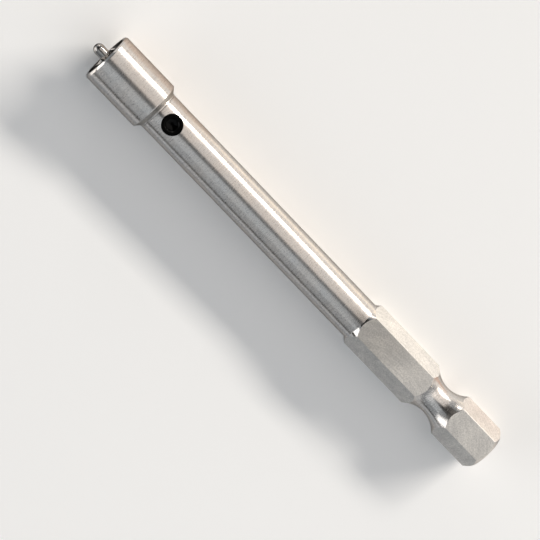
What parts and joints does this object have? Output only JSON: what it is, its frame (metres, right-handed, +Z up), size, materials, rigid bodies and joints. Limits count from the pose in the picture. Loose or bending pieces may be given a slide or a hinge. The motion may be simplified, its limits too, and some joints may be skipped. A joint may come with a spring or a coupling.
{
  "type": "nut setter",
  "caption": "Hex socket nut setter with a spring-loaded ejector pin in the socket, a side retaining screw, a round shaft and a grooved hex power shank.",
  "frame": {"origin": "centre of the shank's end face, on the tool's axis", "axes": "+X along the tool from the shank end to the socket, +Z up through the retaining screw and square to a pair of shank flats"},
  "size_m": [0.0781, 0.0078, 0.0078],
  "materials": {
    "ground_steel": "satin, fine turned on the round shaft and matte ground on the flats",
    "turned_steel": "satin, fine turned",
    "polished_steel": "polished",
    "spring_steel": "drawn wire",
    "black_oxide": "black oxide"
  },
  "bodies": {
    "tool_body": {"drive_shank": "ground_steel", "socket_sleeve": "turned_steel", "retaining_screw": "black_oxide", "ejector_spring": "spring_steel"},
    "ejector": {"ejector_pin": "polished_steel"}
  },
  "joints": [
    {"name": "ejector_slide", "type": "slide", "parent": "tool_body", "child": "ejector", "axis": [-1, 0, 0], "range_m": [0, 0.0076], "stiffness_N_per_m": 980, "springref_m": -0.002, "deforming": ["ejector_spring"]}
  ]
}
